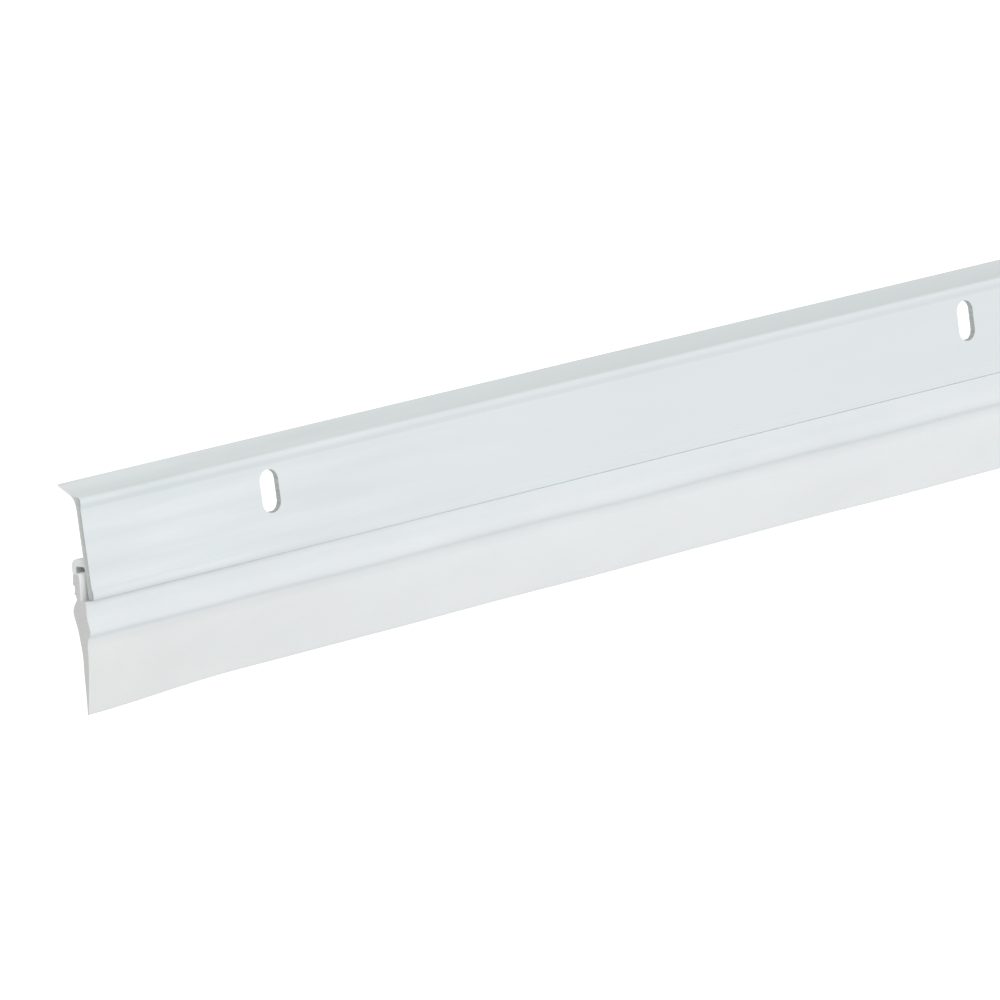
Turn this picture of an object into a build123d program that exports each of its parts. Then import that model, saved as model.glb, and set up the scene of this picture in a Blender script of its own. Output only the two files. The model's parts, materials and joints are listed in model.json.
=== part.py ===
from build123d import *
import os

# Door sweep: an extruded aluminium carrier that screws to the bottom of a door,
# and a vinyl insert that hangs from the channel along the carrier's lower edge.
# X runs along the sweep, +Y points at the door, +Z is up.
# The origin is the centre of the middle screw slot, on the front face of the plate.

# Lengths along X
CARRIER_LENGTH = 911.2
VINYL_LENGTH = 914.4

# Screw slots
SLOT_COUNT = 5
SLOT_PITCH = 203.2
SLOT_WIDTH = 4.8
SLOT_LENGTH = 9.6

# Plate of the carrier
PLATE_WALL = 1.6
PLATE_BOTTOM = -14.0
PLATE_TOP = 8.4
BAND_RISE = 0.3
LOWER_BAND_HEIGHT = 2.2
UPPER_BAND_HEIGHT = 2.0
BAND_EDGE_RADIUS = 0.28
PLATE_BOTTOM_RADIUS = 0.8

# Sloping lip that meets the door above the plate
LIP_REACH = 7.6
LIP_RISE = 2.7
LIP_SAG = 0.3
LIP_TIP_THICKNESS = 0.6
LIP_ROOT_THICKNESS = 1.0
LIP_ROOT_RADIUS = 3.0
LIP_TIP_RADIUS = 0.2
LIP_FRONT_RADIUS = 0.35
LIP_ROOT_Z = PLATE_TOP + LIP_RISE * PLATE_WALL / LIP_REACH - LIP_ROOT_THICKNESS

# Channel behind the foot of the plate
CHANNEL_BACK = 6.6
CHANNEL_WALL = 1.6
WEB_TOP = PLATE_BOTTOM + 8.8
CHANNEL_OUTER_RADIUS = 2.0
CHANNEL_INNER_RADIUS = 0.5
HOOK_REACH = 0.9
HOOK_HEIGHT = 1.0
HOOK_RADIUS = 0.35

# Stem of the vinyl insert, inside the channel
STEM_FRONT = 2.2
STEM_BACK = 3.8
STEM_TOP = PLATE_BOTTOM + 6.0
STEM_CROWN_RADIUS = 0.6
BARB_HEIGHT = 1.1
BACK_BARB_REACH = 0.85
FRONT_BARB_REACH = 0.3
BARB_BASES = (PLATE_BOTTOM + 1.35, PLATE_BOTTOM + 3.4)

# Foot of the vinyl insert, under the carrier: its outline as distances back from
# the front face of the plate and down from the top of the foot
FOOT_TOP = PLATE_BOTTOM - 0.3
FOOT_FRONT_CORNER = (0.7, 0.0)
FOOT_BELLY_UPPER = (0.3, 2.2)
FOOT_BELLY_LOWER = (0.2, 4.7)
FOOT_LOWER_LIP = (0.4, 6.4)
FOOT_BOTTOM_FRONT = (1.2, 7.1)
FOOT_BOTTOM_BACK = (5.2, 7.1)
FOOT_HEEL = (5.3, 5.6)
FOOT_BULGE = (6.1, 2.0)
FOOT_BACK_CORNER = (4.2, 0.0)
FOOT_EDGE_RADIUS = 0.4

# Fin of the vinyl insert, hinged on a round root in the foot
HINGE_Y = 3.35
HINGE_Z = PLATE_BOTTOM - 8.2
ROOT_RADIUS = 1.3
ROOT_CLEARANCE = 0.05
FIN_LENGTH = 17.2
FIN_LEAN = 19.0
FIN_TIP_THICKNESS = 0.5


def extrude_along_x(profile, length):
    """Solid of a profile drawn with Y across and Z up, centred on the middle of the sweep."""
    return extrude(Plane.YZ * profile, amount=length / 2, both=True)


def rectangle(y_low, y_high, z_low, z_high):
    centre = Pos((y_low + y_high) / 2, (z_low + z_high) / 2)
    return centre * Rectangle(y_high - y_low, z_high - z_low)


def round_corner(profile, y, z, radius):
    """Profile with the corner nearest to the stated point rounded."""
    corner = min(profile.vertices(), key=lambda v: (v.X - y) ** 2 + (v.Y - z) ** 2)
    return fillet(corner, radius)


def outline(points):
    return make_face(Polyline(*points, close=True))


def lip_profile():
    """Thin flange, hollow on top, that slopes up from the front of the plate to the door."""
    front = (-BAND_RISE, PLATE_TOP)
    tip = (LIP_REACH, PLATE_TOP + LIP_RISE)
    middle = ((front[0] + tip[0]) / 2, (front[1] + tip[1]) / 2 - LIP_SAG)
    band_bottom = PLATE_TOP - UPPER_BAND_HEIGHT
    top_edge = ThreePointArc(front, middle, tip)
    other_edges = Polyline(
        tip,
        (LIP_REACH, PLATE_TOP + LIP_RISE - LIP_TIP_THICKNESS),
        (PLATE_WALL, LIP_ROOT_Z),
        (PLATE_WALL, band_bottom),
        (-BAND_RISE, band_bottom),
        front,
    )
    return make_face(top_edge.edges() + other_edges.edges())


def carrier_profile():
    leg_front = CHANNEL_BACK - CHANNEL_WALL
    hook_front = leg_front - HOOK_REACH
    hook_top = PLATE_BOTTOM + HOOK_HEIGHT
    web_under = WEB_TOP - CHANNEL_WALL
    band_top = PLATE_BOTTOM + LOWER_BAND_HEIGHT
    profile = rectangle(0, PLATE_WALL, PLATE_BOTTOM, PLATE_TOP)
    profile += rectangle(-BAND_RISE, PLATE_WALL, PLATE_BOTTOM, band_top)
    profile += lip_profile()
    profile += rectangle(0, CHANNEL_BACK, web_under, WEB_TOP)
    profile += rectangle(leg_front, CHANNEL_BACK, PLATE_BOTTOM, WEB_TOP)
    profile += rectangle(hook_front, CHANNEL_BACK, PLATE_BOTTOM, hook_top)

    rounded_corners = [
        (PLATE_WALL, LIP_ROOT_Z, LIP_ROOT_RADIUS),
        (LIP_REACH, PLATE_TOP + LIP_RISE, LIP_TIP_RADIUS),
        (LIP_REACH, PLATE_TOP + LIP_RISE - LIP_TIP_THICKNESS, LIP_TIP_RADIUS),
        (-BAND_RISE, PLATE_TOP, LIP_FRONT_RADIUS),
        (-BAND_RISE, PLATE_TOP - UPPER_BAND_HEIGHT, BAND_EDGE_RADIUS),
        (-BAND_RISE, band_top, BAND_EDGE_RADIUS),
        (-BAND_RISE, PLATE_BOTTOM, PLATE_BOTTOM_RADIUS),
        (CHANNEL_BACK, WEB_TOP, CHANNEL_OUTER_RADIUS),
        (PLATE_WALL, WEB_TOP, CHANNEL_INNER_RADIUS),
        (PLATE_WALL, web_under, CHANNEL_INNER_RADIUS),
        (leg_front, web_under, CHANNEL_INNER_RADIUS),
        (CHANNEL_BACK, PLATE_BOTTOM, HOOK_RADIUS),
        (hook_front, PLATE_BOTTOM, HOOK_RADIUS),
        (hook_front, hook_top, HOOK_RADIUS),
    ]
    for y, z, radius in rounded_corners:
        profile = round_corner(profile, y, z, radius)
    return profile


def make_carrier():
    carrier = extrude_along_x(carrier_profile(), CARRIER_LENGTH)
    slot_outline = Plane.XZ * SlotOverall(SLOT_LENGTH, SLOT_WIDTH, rotation=90)
    slot = extrude(slot_outline, amount=CHANNEL_BACK, both=True)
    first = -(SLOT_COUNT - 1) / 2 * SLOT_PITCH
    for index in range(SLOT_COUNT):
        carrier -= Pos(first + index * SLOT_PITCH, 0, 0) * slot
    return carrier


def barb(face_y, reach, base_z):
    """Saw tooth on one side of the stem, square below and tapering upward."""
    middle_y = (STEM_FRONT + STEM_BACK) / 2
    return outline(
        [
            (middle_y, base_z),
            (face_y + reach, base_z),
            (face_y, base_z + BARB_HEIGHT),
            (middle_y, base_z + BARB_HEIGHT),
        ]
    )


def foot_point(point):
    back, down = point
    return (back, FOOT_TOP - down)


def insert_profile():
    foot_outline = [
        FOOT_FRONT_CORNER,
        FOOT_BELLY_UPPER,
        FOOT_BELLY_LOWER,
        FOOT_LOWER_LIP,
        FOOT_BOTTOM_FRONT,
        FOOT_BOTTOM_BACK,
        FOOT_HEEL,
        FOOT_BULGE,
        FOOT_BACK_CORNER,
    ]
    profile = outline([foot_point(point) for point in foot_outline])
    profile += rectangle(STEM_FRONT, STEM_BACK, foot_point(FOOT_HEEL)[1], STEM_TOP)
    for y in (STEM_FRONT, STEM_BACK):
        profile = round_corner(profile, y, STEM_TOP, STEM_CROWN_RADIUS)
    for point in (FOOT_FRONT_CORNER, FOOT_LOWER_LIP, FOOT_BULGE):
        profile = round_corner(profile, *foot_point(point), FOOT_EDGE_RADIUS)
    for base_z in BARB_BASES:
        profile += barb(STEM_BACK, BACK_BARB_REACH, base_z)
    profile += barb(STEM_FRONT, -FRONT_BARB_REACH, BARB_BASES[1])
    return profile - Pos(HINGE_Y, HINGE_Z) * Circle(ROOT_RADIUS + ROOT_CLEARANCE)


def fin_profile():
    """Tapering blade below a round root, drawn hanging straight down and then leaned at the door."""
    root = Circle(ROOT_RADIUS)
    half_tip = FIN_TIP_THICKNESS / 2
    blade = outline(
        [
            (-ROOT_RADIUS, 0),
            (-half_tip, -FIN_LENGTH),
            (half_tip, -FIN_LENGTH),
            (ROOT_RADIUS, 0),
        ]
    )
    return Pos(HINGE_Y, HINGE_Z) * Rot(0, 0, FIN_LEAN) * (root + blade)


os.makedirs("parts", exist_ok=True)
export_step(make_carrier(), "parts/carrier.step")
export_step(extrude_along_x(insert_profile(), VINYL_LENGTH), "parts/insert.step")
export_step(extrude_along_x(fin_profile(), VINYL_LENGTH), "parts/fin.step")
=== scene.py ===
import json
import math
from math import cos, pi, radians, sin

import bmesh
import bpy
from mathutils import Matrix, Vector


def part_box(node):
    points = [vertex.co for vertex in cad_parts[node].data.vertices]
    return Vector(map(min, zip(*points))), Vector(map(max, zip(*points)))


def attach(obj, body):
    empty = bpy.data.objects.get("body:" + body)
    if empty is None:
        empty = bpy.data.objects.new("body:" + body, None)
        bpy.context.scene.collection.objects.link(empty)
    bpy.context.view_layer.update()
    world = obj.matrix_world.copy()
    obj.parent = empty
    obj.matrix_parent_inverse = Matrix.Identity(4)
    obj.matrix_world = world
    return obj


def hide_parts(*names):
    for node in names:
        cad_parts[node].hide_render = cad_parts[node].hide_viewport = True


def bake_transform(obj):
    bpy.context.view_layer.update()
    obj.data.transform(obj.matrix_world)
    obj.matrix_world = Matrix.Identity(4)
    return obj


# Door sweep. X runs along the sweep, +Y points at the door, +Z is up. Section drawings are
# in millimetres, as (y, z) pairs; everything handed to Blender is in metres.

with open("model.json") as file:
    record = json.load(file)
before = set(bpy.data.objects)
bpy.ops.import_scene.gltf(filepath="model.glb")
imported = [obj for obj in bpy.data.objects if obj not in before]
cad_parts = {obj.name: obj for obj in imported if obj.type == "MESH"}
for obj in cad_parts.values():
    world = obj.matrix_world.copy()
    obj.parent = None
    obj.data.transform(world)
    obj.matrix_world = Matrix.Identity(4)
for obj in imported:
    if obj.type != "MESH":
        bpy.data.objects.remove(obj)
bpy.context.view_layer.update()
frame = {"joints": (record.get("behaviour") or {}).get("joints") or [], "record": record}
MM = 0.001

# ---------------------------------------------------------------- sizes from the CAD frame

carrier_low, carrier_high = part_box("carrier")
_, insert_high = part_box("insert")
fin_low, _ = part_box("fin")
CARRIER_HALF = carrier_high.x / MM
VINYL_HALF = insert_high.x / MM
CUT_NICK = 0.07
CUT_NICK_LENGTH = 0.08

SLOT_MOUNTS = [m for m in frame["record"]["mounts"] if m["name"].startswith("screw_slot")]
SLOT_CENTRES = [m["pos_m"][0] / MM for m in SLOT_MOUNTS]
SLOT_RADIUS = SLOT_MOUNTS[0]["dims"]["hole_r_mm"]
SLOT_STRAIGHT = SLOT_MOUNTS[0]["dims"]["slot_length_mm"] - 2 * SLOT_RADIUS
SLOT_ROLL = 0.05

PLATE_BOTTOM = carrier_low.z / MM
LIP_TIP_TOP = carrier_high.z / MM
LIP_TIP_Y = round(carrier_high.y / MM, 1)
LIP_TIP_THICKNESS = 0.6
LIP_SAG = 0.3
PLATE_TOP = LIP_TIP_TOP - 2.58
PLATE_WALL = 1.6
BAND_RISE = 0.3
LOW_BAND_TOP = PLATE_BOTTOM + 2.2
HIGH_BAND_BOTTOM = PLATE_TOP - 2.0

CHANNEL_WALL = 1.6
CHANNEL_BACK = 6.6
LEG_FRONT = CHANNEL_BACK - CHANNEL_WALL
WEB_TOP = PLATE_BOTTOM + 8.8
WEB_UNDER = WEB_TOP - CHANNEL_WALL
HOOK_FRONT = LEG_FRONT - 0.9
HOOK_TOP = PLATE_BOTTOM + 1.0

FLEX = next(j for j in frame["joints"] if j["name"] == "fin_flex")
HINGE_Y = FLEX["pos_m"][1] / MM
HINGE_Z = FLEX["pos_m"][2] / MM
FIN_LEAN = radians(19.0)
CREASE = PLATE_BOTTOM - 7.8
FLEX_START = CREASE + 0.3
FLEX_END = CREASE - 1.9

CREASE_WAVES = [(0.10, 71.0, 0.4), (0.07, 113.0, 2.1), (0.05, 39.0, 4.0)]
FIN_WAVES = [(0.45, 88.0, 1.3), (0.35, 157.0, 0.2), (0.22, 47.0, 3.3)]
BELLY_WAVES = [(0.05, 64.0, 0.9), (0.04, 27.0, 5.0)]
END_CURL = radians(10.3)
END_CURL_REACH = 47.0
SHOULDER_PULL = 0.85
SHOULDER_PULL_REACH = 150.0


# ---------------------------------------------------------------- drawing sections

def unit(a, b):
    dy, dz = b[0] - a[0], b[1] - a[1]
    length = math.hypot(dy, dz)
    return (dy / length, dz / length), length


def rounded(corners, step=9.0, support=0.09):
    """Closed outline through corners (y, z, radius), with a support point beside each arc."""
    out = []
    count = len(corners)
    for i, (y, z, radius) in enumerate(corners):
        before, after = corners[i - 1], corners[(i + 1) % count]
        if radius <= 0:
            out.append((y, z))
            continue
        (iy, iz), in_length = unit(before, (y, z))
        (oy, oz), out_length = unit((y, z), after)
        turn = math.atan2(iy * oz - iz * oy, iy * oy + iz * oz)
        tangent = abs(radius * math.tan(turn / 2))
        side = 1 if turn > 0 else -1
        centre = (y - iy * tangent - side * iz * radius, z - iz * tangent + side * iy * radius)
        start = math.atan2(z - iz * tangent - centre[1], y - iy * tangent - centre[0])
        if in_length - tangent > 4 * support:
            out.append((y - iy * (tangent + support), z - iz * (tangent + support)))
        pieces = max(3, round(abs(math.degrees(turn)) / step))
        for k in range(pieces + 1):
            angle = start + turn * k / pieces
            out.append((centre[0] + radius * cos(angle), centre[1] + radius * sin(angle)))
        if out_length - tangent > 4 * support:
            out.append((y + oy * (tangent + support), z + oz * (tangent + support)))
    return out


def curve_through(points, pieces=5):
    """Smooth open curve through the points."""
    out = []
    for i in range(len(points) - 1):
        p0 = points[max(i - 1, 0)]
        p1, p2 = points[i], points[i + 1]
        p3 = points[min(i + 2, len(points) - 1)]
        for k in range(pieces):
            t = k / pieces
            out.append(tuple(
                0.5 * (2 * b + (c - a) * t + (2 * a - 5 * b + 4 * c - d) * t * t
                       + (3 * b - a - 3 * c + d) * t ** 3)
                for a, b, c, d in zip(p0, p1, p2, p3)))
    out.append(points[-1])
    return out


def inset(points, depth):
    """The outline moved inward by depth, whichever way round it runs."""
    area = sum(a[0] * b[1] - b[0] * a[1] for a, b in zip(points, points[1:] + points[:1]))
    side = 1 if area > 0 else -1
    out = []
    for i, p in enumerate(points):
        (ay, az), _ = unit(points[i - 1], p)
        (by, bz), _ = unit(p, points[(i + 1) % len(points)])
        ny, nz = -(az + bz), ay + by
        length = math.hypot(ny, nz)
        scale = side * depth / length / max(0.5, length / 2)
        out.append((p[0] + ny * scale, p[1] + nz * scale))
    return out


def skin(name, rings):
    """Closed mesh through rings of equal count, each a list of (x, y, z) in millimetres."""
    bm = bmesh.new()
    loops = [[bm.verts.new([c * MM for c in p]) for p in ring] for ring in rings]
    for a, b in zip(loops, loops[1:]):
        for i in range(len(a)):
            j = (i + 1) % len(a)
            bm.faces.new((a[i], a[j], b[j], b[i]))
    bm.faces.new(loops[0])
    bm.faces.new(loops[-1][::-1])
    bmesh.ops.recalc_face_normals(bm, faces=bm.faces)
    mesh = bpy.data.meshes.new(name)
    bm.to_mesh(mesh)
    bm.free()
    thing = bpy.data.objects.new(name, mesh)
    bpy.context.scene.collection.objects.link(thing)
    return thing


def shade(thing, angle=28):
    thing.data.polygons.foreach_set("use_smooth", [True] * len(thing.data.polygons))
    thing.data.set_sharp_from_angle(angle=radians(angle))


# ---------------------------------------------------------------- carrier

def lip_points(front_z, tip_z):
    """Points between the front and the tip of the lip's upper face, which is slightly hollow."""
    steps = 12
    points = []
    for k in range(1, steps):
        t = k / steps
        sag = LIP_SAG * 4 * t * (1 - t)
        points.append((-BAND_RISE + t * (LIP_TIP_Y + BAND_RISE), front_z + t * (tip_z - front_z) - sag, 0))
    return points


def carrier_outline():
    """Section of the carrier, from the plate's lower front corner up, over the lip and down the back."""
    lip_front = PLATE_TOP - 0.15
    lip_tip = LIP_TIP_TOP + 0.22
    return rounded([
        (-BAND_RISE, PLATE_BOTTOM, 0.24),
        (-BAND_RISE, LOW_BAND_TOP - 0.25, 0.8),
        (0.0, LOW_BAND_TOP + 0.35, 0.8),
        (0.0, HIGH_BAND_BOTTOM - 0.55, 0.9),
        (-BAND_RISE, HIGH_BAND_BOTTOM + 0.6, 0.9),
        (-BAND_RISE, lip_front, 0.75),
        *lip_points(lip_front, lip_tip),
        (LIP_TIP_Y, lip_tip, 0.2),
        (LIP_TIP_Y, lip_tip - LIP_TIP_THICKNESS, 0.2),
        (PLATE_WALL, PLATE_TOP - 0.43, 3.0),
        (PLATE_WALL, WEB_TOP, 0.5),
        (CHANNEL_BACK, WEB_TOP, 2.0),
        (CHANNEL_BACK, PLATE_BOTTOM, 0.35),
        (HOOK_FRONT, PLATE_BOTTOM, 0.35),
        (HOOK_FRONT, HOOK_TOP, 0.35),
        (LEG_FRONT, HOOK_TOP, 0),
        (LEG_FRONT, WEB_UNDER, 0.5),
        (PLATE_WALL, WEB_UNDER, 0.5),
        (PLATE_WALL, PLATE_BOTTOM, 0.1),
    ])


def slot_ring(centre_x, y, grow):
    """Outline of a slot at depth y, larger than the slot by grow on every side."""
    radius = SLOT_RADIUS + grow
    half = SLOT_STRAIGHT / 2
    steps = 24
    ring = []
    for start, centre_z in ((0.0, half), (pi, -half)):
        for k in range(steps + 1):
            angle = start + pi * k / steps
            ring.append((centre_x + radius * cos(angle), y, centre_z + radius * sin(angle)))
    return ring


def slot_cutter(name, centre_x):
    """Punched slot, rolled over a little at the front face."""
    stations = [
        (-1.0, SLOT_ROLL + 0.9),
        (-0.02, SLOT_ROLL + 0.02),
        (0.02, SLOT_ROLL * 0.62),
        (0.035, SLOT_ROLL * 0.2),
        (0.06, 0.0),
        (PLATE_WALL - 0.1, 0.0),
        (PLATE_WALL + 0.6, 0.0),
    ]
    return skin(name, [slot_ring(centre_x, y, grow) for y, grow in stations])


def make_carrier():
    section = carrier_outline()
    nicked = inset(section, CUT_NICK)
    stations = [
        (-CARRIER_HALF, nicked),
        (-CARRIER_HALF + CUT_NICK_LENGTH, section),
        (CARRIER_HALF - CUT_NICK_LENGTH, section),
        (CARRIER_HALF, nicked),
    ]
    carrier = skin("carrier_extrusion", [[(x, y, z) for y, z in ring] for x, ring in stations])
    for index, centre_x in enumerate(SLOT_CENTRES):
        cutter = slot_cutter(f"slot_cutter_{index}", centre_x)
        cut = carrier.modifiers.new("slot", "BOOLEAN")
        cut.object = cutter
        cut.solver = "MANIFOLD"
        bpy.context.view_layer.objects.active = carrier
        bpy.ops.object.modifier_apply(modifier=cut.name)
        bpy.data.objects.remove(cutter)
    carrier.data.materials.clear()
    carrier.data.polygons.foreach_set("material_index", [0] * len(carrier.data.polygons))
    shade(carrier)
    return carrier


# ---------------------------------------------------------------- vinyl

def fin_point(along, across):
    """Point on the leaned fin: along it from the hinge, and across it toward the back."""
    return (HINGE_Y + along * sin(FIN_LEAN) + across * cos(FIN_LEAN),
            HINGE_Z - along * cos(FIN_LEAN) + across * sin(FIN_LEAN))


def foot_point(y, drop):
    """Point on the foot: behind the plate's front face, and below the plate."""
    return (y, PLATE_BOTTOM - drop)


def stem_outline(curve_end):
    """Barbed stem inside the channel, from the end of the back curve up and over to the shoulder."""
    base = PLATE_BOTTOM
    corners = [
        (*curve_end, 0),
        (3.85, base + 0.35, 0.25),
        (3.95, base + 1.35, 0.05),
        (4.7, base + 1.35, 0.12),
        (4.0, base + 2.45, 0.2),
        (4.05, base + 3.4, 0.05),
        (4.75, base + 3.4, 0.12),
        (4.3, base + 4.6, 0.2),
        (4.1, base + 6.0, 0.7),
        (1.8, base + 6.0, 0.6),
        (1.8, base + 4.6, 0.3),
        (2.45, base - 0.03, 0.3),
        (0.75, base - 0.03, 0),
    ]
    return rounded(corners, 18.0, 0.06)[1:]


def vinyl_outline():
    """Stem, belly below the carrier, crease and long tapering fin, run round from the stem's back."""
    shoulder = [
        foot_point(0.75, 0.03), foot_point(0.3, 0.03), foot_point(0.0, 0.02), foot_point(-0.19, 0.05),
        foot_point(-0.25, 0.2), foot_point(-0.2, 1.0),
    ]
    belly = [
        foot_point(-0.06, 2.4), foot_point(0.12, 4.0), foot_point(0.12, 5.4), foot_point(0.22, 6.5),
        foot_point(0.5, 7.2), foot_point(0.9, 7.62), foot_point(1.3, 7.98), foot_point(1.63, 8.45),
        foot_point(1.95, 9.05),
    ]
    fin_front = [
        fin_point(1.5, -1.44), fin_point(2.6, -1.45), fin_point(4.2, -1.46), fin_point(7.1, -1.36),
        fin_point(11.5, -0.98), fin_point(15.0, -0.6), fin_point(16.6, -0.4),
    ]
    tip = [fin_point(17.05, -0.27), fin_point(17.15, -0.12), fin_point(17.08, 0.02)]
    fin_back = [
        fin_point(16.6, 0.03), fin_point(15.0, 0.04), fin_point(11.0, 0.28), fin_point(7.5, 0.52),
        fin_point(5.4, 0.56), fin_point(3.9, 0.66), fin_point(2.2, 1.0), fin_point(0.7, 1.38),
    ]
    heel = [
        foot_point(4.95, 7.2), foot_point(5.08, 6.4), foot_point(5.35, 5.3), foot_point(5.75, 3.9),
        foot_point(5.95, 2.9), foot_point(5.75, 1.9), foot_point(5.2, 1.05), foot_point(4.65, 0.5),
        foot_point(4.3, 0.12),
    ]
    free = curve_through(shoulder + belly + fin_front + tip + fin_back + heel, 3)
    return stem_outline(heel[-1]) + free[1:]


def waves(x, terms):
    return sum(size * sin(2 * pi * x / length + phase) for size, length, phase in terms)


def smooth_step(t):
    t = min(max(t, 0.0), 1.0)
    return t * t * (3 - 2 * t)


def vinyl_ring(section, x):
    """The section at x: the fin curled forward and the shoulder drawn in near the ends, with waves."""
    from_end = VINYL_HALF - abs(x)
    curl = END_CURL * (1 - smooth_step(from_end / END_CURL_REACH)) ** 1.2
    swing = radians(waves(x, FIN_WAVES)) - curl
    pull = SHOULDER_PULL * (1 - smooth_step(from_end / SHOULDER_PULL_REACH))
    ring = []
    for y, z in section:
        below = smooth_step((FLEX_START - z) / (FLEX_START - FLEX_END))
        at_crease = math.exp(-((z - CREASE) / 2.2) ** 2)
        on_belly = math.exp(-((z - PLATE_BOTTOM + 4.0) / 2.0) ** 2)
        y += waves(x, BELLY_WAVES) * on_belly
        if z < PLATE_BOTTOM + 0.3 and y < 1.5:
            y += pull * smooth_step((z - CREASE) / 5.0)
        z += waves(x, CREASE_WAVES) * at_crease
        angle = swing * below
        dy, dz = y - HINGE_Y, z - HINGE_Z
        ring.append((x, HINGE_Y + dy * cos(angle) - dz * sin(angle),
                     HINGE_Z + dy * sin(angle) + dz * cos(angle)))
    return ring


def make_vinyl():
    section = vinyl_outline()
    nicked = inset(section, CUT_NICK)
    near_end, fine_step, coarse_step = 60.0, 1.5, 4.0
    last = VINYL_HALF - CUT_NICK_LENGTH
    stations = []
    x = -last
    while x < last:
        stations.append(x)
        x += fine_step if VINYL_HALF - abs(x) < near_end else coarse_step
    stations.append(last)
    rings = [vinyl_ring(nicked, -VINYL_HALF)]
    rings += [vinyl_ring(section, x) for x in stations]
    rings.append(vinyl_ring(nicked, VINYL_HALF))
    vinyl = skin("vinyl_insert", rings)
    shade(vinyl)
    return vinyl


# ---------------------------------------------------------------- materials

class Shader:
    """Node material with helpers for procedural detail."""

    def __init__(self, name):
        self.material = bpy.data.materials.new(name)
        self.material.use_nodes = True
        self.nodes = self.material.node_tree.nodes
        self.links = self.material.node_tree.links
        self.principled = self.nodes["Principled BSDF"]
        self.place = self.nodes.new("ShaderNodeTexCoord").outputs["Object"]

    def coordinates(self):
        node = self.nodes.new("ShaderNodeSeparateXYZ")
        self.links.new(self.place, node.inputs["Vector"])
        return node.outputs["X"], node.outputs["Y"], node.outputs["Z"]

    def noise(self, scale, stretch=(1, 1, 1), detail=3.0, roughness=0.5):
        mapping = self.nodes.new("ShaderNodeMapping")
        mapping.inputs["Scale"].default_value = stretch
        self.links.new(self.place, mapping.inputs["Vector"])
        texture = self.nodes.new("ShaderNodeTexNoise")
        texture.inputs["Scale"].default_value = scale
        texture.inputs["Detail"].default_value = detail
        texture.inputs["Roughness"].default_value = roughness
        self.links.new(mapping.outputs["Vector"], texture.inputs["Vector"])
        return texture.outputs["Fac"]

    def range(self, value, low, high, from_low=0.3, from_high=0.7):
        """The value scaled and clamped; the usual input range is where noise mostly lies."""
        node = self.nodes.new("ShaderNodeMapRange")
        node.inputs["From Min"].default_value = from_low
        node.inputs["From Max"].default_value = from_high
        node.inputs["To Min"].default_value = low
        node.inputs["To Max"].default_value = high
        self.links.new(value, node.inputs["Value"])
        return node.outputs["Result"]

    def mix(self, factor, a, b):
        node = self.nodes.new("ShaderNodeMix")
        node.data_type = "RGBA"
        for socket, value in ((node.inputs["A"], a), (node.inputs["B"], b)):
            if isinstance(value, tuple):
                socket.default_value = (*value, 1.0)
            else:
                self.links.new(value, socket)
        self.links.new(factor, node.inputs["Factor"])
        return node.outputs["Result"]

    def math(self, operation, *values):
        node = self.nodes.new("ShaderNodeMath")
        node.operation = operation
        for socket, value in zip(node.inputs, values):
            self.links.new(value, socket)
        return node.outputs["Value"]

    def bump(self, height, distance, strength=1.0, normal=None):
        node = self.nodes.new("ShaderNodeBump")
        if isinstance(strength, bpy.types.NodeSocket):
            self.links.new(strength, node.inputs["Strength"])
        else:
            node.inputs["Strength"].default_value = strength
        node.inputs["Distance"].default_value = distance
        self.links.new(height, node.inputs["Height"])
        if normal is not None:
            self.links.new(normal, node.inputs["Normal"])
        return node.outputs["Normal"]

    def set(self, **values):
        """Values or sockets for the surface's inputs, named with underscores for spaces."""
        for name, value in values.items():
            socket = self.principled.inputs[name.replace("_", " ")]
            if isinstance(value, bpy.types.NodeSocket):
                self.links.new(value, socket)
            else:
                socket.default_value = (*value, 1.0) if isinstance(value, tuple) else value


def paint_material():
    """Satin white paint; its colour carries streaks that stand for reflections and a darker lower edge that
    stands for shade, both fading out away from the ends.
    """
    s = Shader("white_paint")
    x, y, z = s.coordinates()
    end = CARRIER_HALF * MM
    toward_end = s.range(s.math("ABSOLUTE", x), 0.0, 1.0, end - 0.13, end - 0.02)
    # Painted reflection: streak noise lightens and darkens the colour in long wavy bands, strongly near the
    # ends and faintly elsewhere.
    streaks = s.noise(1.0, (22.0, 230.0, 230.0), 2.0)
    patches = s.noise(14.0, (1, 1, 1), 2.0)
    calm = s.mix(s.range(streaks, 0.0, 1.0), (0.704, 0.740, 0.767), (0.714, 0.750, 0.777))
    reflection_streaked = s.mix(s.range(streaks, 0.0, 1.0), (0.676, 0.716, 0.740), (0.758, 0.798, 0.822))
    colour = s.mix(toward_end, calm, reflection_streaked)
    colour = s.mix(s.range(patches, 0.0, 0.35), colour, (0.740, 0.790, 0.794))
    # Painted shade: the plate's lower front edge is darkened near the ends.
    low_edge = s.range(z, 0.0, 0.6, (PLATE_BOTTOM + 1.1) * MM, (PLATE_BOTTOM + 0.05) * MM)
    front = s.range(y, 1.0, 0.0, 0.0, PLATE_WALL * MM)
    edge_shade = s.math("MULTIPLY", s.math("MULTIPLY", low_edge, front), toward_end)
    colour = s.mix(edge_shade, colour, (0.52, 0.55, 0.57))
    peel = s.noise(1500.0, (1, 1, 1), 2.0)
    draw_lines = s.noise(1.0, (14.0, 1900.0, 1900.0), 2.0)
    ripple = s.noise(1.0, (16.0, 190.0, 190.0), 1.0)
    normal = s.bump(ripple, 0.0004, s.range(toward_end, 0.05, 1.0, 0.0, 1.0))
    normal = s.bump(draw_lines, 0.000012, 0.6, normal)
    normal = s.bump(peel, 0.000010, 0.5, normal)
    s.set(Base_Color=colour, Roughness=s.range(peel, 0.36, 0.50), Normal=normal)
    s.set(Coat_Weight=0.12, Coat_Roughness=0.22, IOR=1.5)
    return s.material


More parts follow.
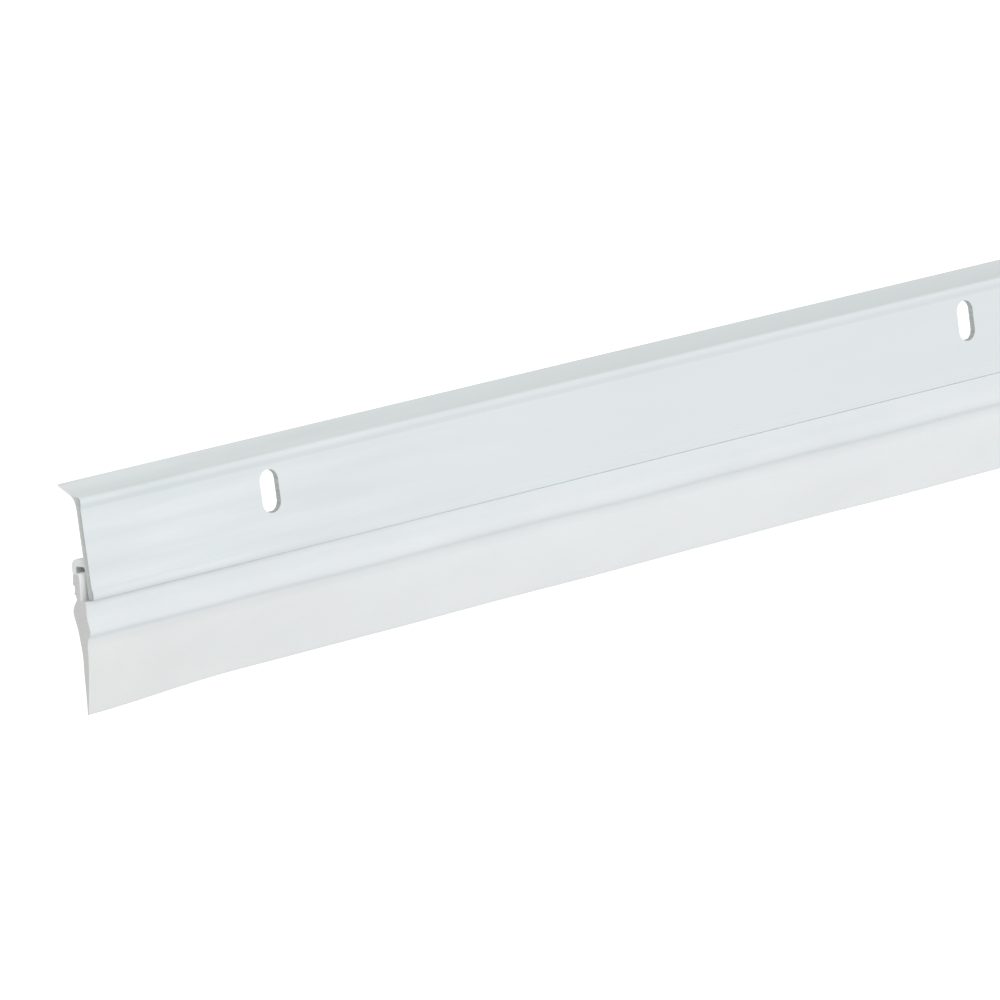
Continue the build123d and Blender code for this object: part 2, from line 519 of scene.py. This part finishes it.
def bare_metal_material(name, low, high, lines, whiter_toward_door=False):
    """Cut aluminium with fine tool lines, optionally whiter and less metallic more and more toward the door.
    """
    s = Shader(name)
    saw = s.noise(1.0, lines, 4.0, 0.6)
    grain = s.noise(2600.0, (1, 1, 1), 2.0)
    colour = s.mix(s.range(saw, 0.0, 1.0), low, high)
    metal = 0.85
    if whiter_toward_door:
        _, y, _ = s.coordinates()
        # Whiter and less metallic from the plate's front face back toward the door.
        toward_door = s.range(y, 0.0, 1.0, -BAND_RISE * MM, 3.4 * MM)
        colour = s.mix(toward_door, colour, (0.96, 0.96, 0.95))
        metal = s.range(toward_door, metal, 0.0, 0.0, 1.0)
    normal = s.bump(saw, 0.00003, 0.7)
    normal = s.bump(grain, 0.00001, 0.5, normal)
    s.set(Base_Color=colour, Roughness=s.range(grain, 0.42, 0.62), Normal=normal, Metallic=metal)
    return s.material


def vinyl_material():
    """White vinyl with a lighter fin; its colour is darkened for shade on the fin near the ends and under
    the plate's edge, and lightened against shade inside the channel.
    """
    s = Shader("white_vinyl")
    x, _, z = s.coordinates()
    along = s.math("ABSOLUTE", x)
    end = VINYL_HALF * MM
    flow = s.noise(1.0, (10.0, 420.0, 420.0), 3.0)
    mottled = s.range(s.noise(85.0, (0.5, 1, 1), 3.0), 0.0, 1.0)
    foot = s.mix(mottled, (0.752, 0.782, 0.806), (0.782, 0.810, 0.832))
    fin = s.mix(mottled, (0.800, 0.824, 0.840), (0.828, 0.852, 0.867))
    # Painted shade: the fin is greyer toward the ends.
    fin_end_shade = s.mix(mottled, (0.760, 0.775, 0.782), (0.788, 0.803, 0.810))
    fin = s.mix(s.range(along, 0.0, 1.0, end - 0.10, end), fin, fin_end_shade)
    below_crease = s.range(z, 0.0, 1.0, (CREASE - 0.4) * MM, (CREASE - 1.6) * MM)
    colour = s.mix(below_crease, foot, fin)
    # Painted shade: a soft dark band on the vinyl just under the plate's lower edge, near the ends.
    under_edge = s.range(z, 0.0, 1.0, (PLATE_BOTTOM - 1.3) * MM, (PLATE_BOTTOM - 0.1) * MM)
    toward_end = s.range(along, 0.0, 0.45, end - 0.14, end - 0.02)
    colour = s.mix(s.math("MULTIPLY", under_edge, toward_end), colour, (0.60, 0.62, 0.64))
    # Painted light: the vinyl inside the channel, which the plate shades, is made lighter.
    in_channel = s.range(z, 0.0, 1.0, (PLATE_BOTTOM - 0.05) * MM, (PLATE_BOTTOM + 0.25) * MM)
    colour = s.mix(in_channel, colour, (0.93, 0.94, 0.95))
    grain = s.noise(3200.0, (1, 1, 1), 2.0)
    ripple = s.noise(46.0, (0.7, 1.0, 1.0), 1.0)
    normal = s.bump(ripple, 0.00035, 0.35)
    normal = s.bump(flow, 0.00003, 0.5, normal)
    normal = s.bump(grain, 0.000008, 0.5, normal)
    s.set(Base_Color=colour, Roughness=s.range(flow, 0.46, 0.60), Normal=normal)
    s.set(Subsurface_Weight=0.08, Subsurface_Scale=0.002, IOR=1.47)
    return s.material


def cut_vinyl_material():
    """Sawn vinyl, a little darker and rougher than the skin."""
    s = Shader("cut_vinyl")
    saw = s.noise(1.0, (300.0, 500.0, 1800.0), 3.0)
    grain = s.noise(3200.0, (1, 1, 1), 2.0)
    colour = s.mix(s.range(saw, 0.0, 1.0), (0.725, 0.725, 0.725), (0.765, 0.765, 0.765))
    normal = s.bump(saw, 0.000015, 0.4)
    normal = s.bump(grain, 0.000008, 0.5, normal)
    s.set(Base_Color=colour, Roughness=s.range(grain, 0.50, 0.66), Normal=normal)
    s.set(Subsurface_Weight=0.08, Subsurface_Scale=0.002, IOR=1.47)
    return s.material


def on_cut_end(face, half_length):
    """Whether the face is an extrusion's sawn end, or the nicked edge round it."""
    from_end = half_length - abs(face.center.x) / MM
    return from_end < CUT_NICK_LENGTH and abs(face.normal.x) > 0.4


def on_slot_wall(face):
    """Whether the face is the wall of a slot, within the plate."""
    place = face.center / MM
    clear = 0.3
    beside_slot = any(abs(place.x - centre_x) < SLOT_RADIUS + clear for centre_x in SLOT_CENTRES)
    at_slot_height = abs(place.z) < SLOT_STRAIGHT / 2 + SLOT_RADIUS + clear
    in_plate = 0.02 < place.y < PLATE_WALL + 0.01
    return beside_slot and at_slot_height and in_plate and abs(face.normal.y) < 0.8


def finish_carrier(carrier):
    sawn = bare_metal_material("sawn_aluminium", (0.50, 0.53, 0.51), (0.64, 0.67, 0.65),
                               (600.0, 500.0, 2600.0), whiter_toward_door=True)
    punched = bare_metal_material("punched_aluminium", (0.50, 0.52, 0.52), (0.72, 0.74, 0.73),
                                  (2400.0, 220.0, 2400.0))
    for material in (paint_material(), sawn, punched):
        carrier.data.materials.append(material)
    for face in carrier.data.polygons:
        if on_cut_end(face, CARRIER_HALF):
            face.material_index = 1
        elif on_slot_wall(face):
            face.material_index = 2


def finish_vinyl(vinyl):
    for material in (vinyl_material(), cut_vinyl_material()):
        vinyl.data.materials.append(material)
    for face in vinyl.data.polygons:
        if on_cut_end(face, VINYL_HALF):
            face.material_index = 1


# ---------------------------------------------------------------- floor, light and camera

FLOOR_DROP = 0.13
LIGHT_FROM_BELOW = 0.73
LIGHT_FROM_ABOVE = 0.71
TINT_FROM_BELOW = (0.985, 1.0, 1.0, 1)
TINT_FROM_ABOVE = (0.985, 1.0, 0.955, 1)
SUN_LEVEL = 0.86
SUN_SPREAD = radians(55)
SUN_DIRECTION = Vector((0.45, -0.85, 0.25))

CAMERA_PLACE = Vector((-1.194606, -1.153067, 0.217884))
CAMERA_AZIMUTH = radians(36.3751)
CAMERA_DROP = radians(9.21214)
CAMERA_ROLL = radians(-7.44458)
CAMERA_LENS = 234.0


def glowing(name, diffuse, glow):
    """White surface that glows, so it looks even however the sweep is lit."""
    material = bpy.data.materials.new(name)
    material.use_nodes = True
    principled = material.node_tree.nodes["Principled BSDF"]
    principled.inputs["Base Color"].default_value = (diffuse, diffuse, diffuse, 1)
    principled.inputs["Roughness"].default_value = 0.9
    principled.inputs["Specular IOR Level"].default_value = 0.0
    principled.inputs["Emission Color"].default_value = (1, 1, 1, 1)
    principled.inputs["Emission Strength"].default_value = glow
    return material


def make_stage():
    """Pale floor and backdrop, which only the camera sees."""
    floor_z = fin_low.z - FLOOR_DROP
    bpy.ops.mesh.primitive_plane_add(size=44, location=(0, 0, floor_z))
    floor = bpy.context.object
    floor.name = "floor"
    floor.data.materials.append(glowing("pale_floor", 0.5, 0.85))
    bpy.ops.mesh.primitive_uv_sphere_add(radius=21, segments=48, ring_count=24, location=(0, 0, floor_z))
    dome = bpy.context.object
    dome.name = "backdrop"
    dome.data.materials.append(glowing("pale_backdrop", 0.0, 1.02))
    for thing in (floor, dome):
        for kind in ("diffuse", "glossy", "transmission", "volume_scatter", "shadow"):
            setattr(thing, f"visible_{kind}", False)


def ramp_up(nodes, links, height):
    """Value that rises from 0 straight below to 1 straight above."""
    ramp = nodes.new("ShaderNodeMapRange")
    ramp.inputs["From Min"].default_value = -1.0
    links.new(height, ramp.inputs["Value"])
    return ramp


def make_world():
    """Light from all round, slightly cooler from below."""
    world = bpy.data.worlds.new("studio")
    world.use_nodes = True
    nodes, links = world.node_tree.nodes, world.node_tree.links
    direction = nodes.new("ShaderNodeTexCoord").outputs["Generated"]
    split = nodes.new("ShaderNodeSeparateXYZ")
    links.new(direction, split.inputs["Vector"])
    level = ramp_up(nodes, links, split.outputs["Z"])
    level.inputs["To Min"].default_value = LIGHT_FROM_BELOW
    level.inputs["To Max"].default_value = LIGHT_FROM_ABOVE
    tint = nodes.new("ShaderNodeMix")
    tint.data_type = "RGBA"
    tint.inputs["A"].default_value = TINT_FROM_BELOW
    tint.inputs["B"].default_value = TINT_FROM_ABOVE
    links.new(ramp_up(nodes, links, split.outputs["Z"]).outputs["Result"], tint.inputs["Factor"])
    links.new(level.outputs["Result"], nodes["Background"].inputs["Strength"])
    links.new(tint.outputs["Result"], nodes["Background"].inputs["Color"])
    bpy.context.scene.world = world


def make_sun():
    """Large soft source in front of the sweep, a little above it."""
    sun = bpy.data.objects.new("softbox", bpy.data.lights.new("softbox", "SUN"))
    sun.data.energy = SUN_LEVEL
    sun.data.angle = SUN_SPREAD
    sun.rotation_mode = "QUATERNION"
    sun.rotation_quaternion = SUN_DIRECTION.to_track_quat("Z", "Y")
    bpy.context.scene.collection.objects.link(sun)


def make_panel(name, place, target, size, energy):
    """Rectangular light in metres and watts, hidden from the camera."""
    panel = bpy.data.objects.new(name, bpy.data.lights.new(name, "AREA"))
    panel.data.shape = "RECTANGLE"
    panel.data.size, panel.data.size_y = size
    panel.data.energy = energy
    panel.location = place
    panel.rotation_mode = "QUATERNION"
    panel.rotation_quaternion = (Vector(place) - Vector(target)).to_track_quat("Z", "Y")
    panel.visible_camera = False
    bpy.context.scene.collection.objects.link(panel)


def make_camera():
    """Camera of the photo: turned by the azimuth, tilted down by the drop, then rolled."""
    forward = Vector((sin(CAMERA_AZIMUTH) * cos(CAMERA_DROP),
                      cos(CAMERA_AZIMUTH) * cos(CAMERA_DROP),
                      -sin(CAMERA_DROP)))
    level_right = Vector((cos(CAMERA_AZIMUTH), -sin(CAMERA_AZIMUTH), 0))
    level_up = level_right.cross(forward)
    right = level_right * cos(CAMERA_ROLL) + level_up * sin(CAMERA_ROLL)
    up = level_up * cos(CAMERA_ROLL) - level_right * sin(CAMERA_ROLL)
    data = bpy.data.cameras.new("camera")
    data.lens = CAMERA_LENS
    data.sensor_width = 36
    data.clip_start = 0.05
    data.clip_end = 60
    camera = bpy.data.objects.new("camera", data)
    bpy.context.scene.collection.objects.link(camera)
    camera.matrix_world = Matrix([
        [right.x, up.x, -forward.x, CAMERA_PLACE.x],
        [right.y, up.y, -forward.y, CAMERA_PLACE.y],
        [right.z, up.z, -forward.z, CAMERA_PLACE.z],
        [0, 0, 0, 1],
    ])
    bpy.context.scene.camera = camera


# ---------------------------------------------------------------- the scene

carrier = make_carrier()
finish_carrier(carrier)
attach(carrier, "carrier")
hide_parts("carrier")

vinyl = make_vinyl()
finish_vinyl(vinyl)
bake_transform(vinyl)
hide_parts("insert", "fin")

make_stage()
make_world()
make_sun()
make_panel("low_softbox", place=(0.35, -1.6, -0.30), target=(-0.3, 0.0, 0.0), size=(0.9, 0.8), energy=1.9)
make_panel("lip_light", place=(-0.56, 0.05, 0.32), target=(-0.44, 0.0, 0.01), size=(0.12, 0.12), energy=0.08)
make_camera()
view = bpy.context.scene.view_settings
view.view_transform = "Standard"
view.look = "None"
view.exposure = 0.0
view.gamma = 1.0
